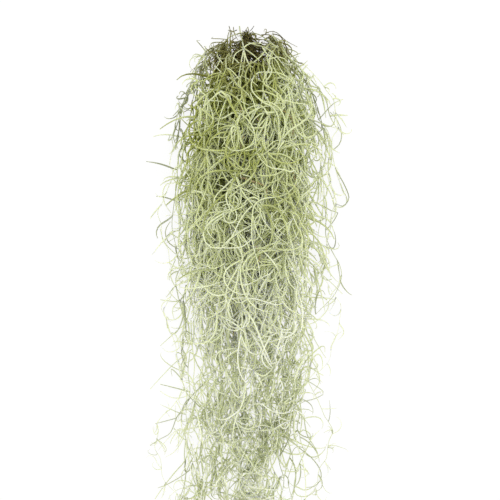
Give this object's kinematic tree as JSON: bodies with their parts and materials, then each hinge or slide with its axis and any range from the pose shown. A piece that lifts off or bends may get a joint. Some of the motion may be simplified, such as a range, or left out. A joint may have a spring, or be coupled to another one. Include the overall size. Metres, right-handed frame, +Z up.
{
  "type": "spanish moss bunch",
  "caption": "Bunch of Spanish moss laid down: thread-thin grey-green shoots hang together in long festoons from a dark knot of dead stems and taper to a ragged tail.",
  "frame": {"origin": "middle of the bunch's bounding box on the surface that it lies on", "axes": "+Y along the bunch towards the crown, where the festoons start; +X across it; +Z up from the surface"},
  "size_m": [0.173, 0.5406, 0.0852],
  "materials": {
    "moss_green": "matte",
    "moss_old": "matte",
    "moss_dried": "matte",
    "dead_stem": "matte"
  },
  "bodies": {
    "root": {"base_festoon_1": "moss_green", "base_festoon_2": "moss_green", "base_festoon_3": "moss_green", "base_festoon_4": "moss_green", "base_festoon_5": "moss_green", "base_festoon_6": "moss_green", "base_festoon_7": "moss_green", "base_festoon_8": "moss_green", "core_festoon_1": "moss_old", "core_festoon_2": "moss_old", "core_festoon_3": "moss_old", "core_festoon_4": "moss_old", "core_festoon_5": "moss_old", "core_festoon_6": "moss_old", "core_festoon_7": "moss_old", "upper_festoon_1": "moss_green", "upper_festoon_2": "moss_green", "upper_festoon_3": "moss_green", "upper_festoon_4": "moss_green", "upper_festoon_5": "moss_green", "upper_festoon_6": "moss_green", "crown_festoon_1": "moss_green", "crown_festoon_2": "moss_green", "crown_festoon_3": "moss_green", "crown_festoon_4": "moss_green", "crown_festoon_5": "moss_green", "tail_festoon_1": "moss_green", "tail_festoon_2": "moss_green", "tail_festoon_3": "moss_green", "tail_festoon_4": "moss_green", "dead_stem_knot": "dead_stem", "flank_shoot_1": "moss_green", "flank_shoot_2": "moss_green", "flank_shoot_3": "moss_green", "flank_shoot_4": "moss_green", "flank_shoot_5": "moss_green", "flank_shoot_6": "moss_green", "flank_shoot_7": "moss_green", "flank_shoot_8": "moss_green", "flank_shoot_9": "moss_green", "flank_shoot_10": "moss_green", "top_shoot_1": "moss_green", "top_shoot_2": "moss_green", "top_shoot_3": "moss_dried", "top_shoot_4": "moss_green"}
  },
  "joints": []
}
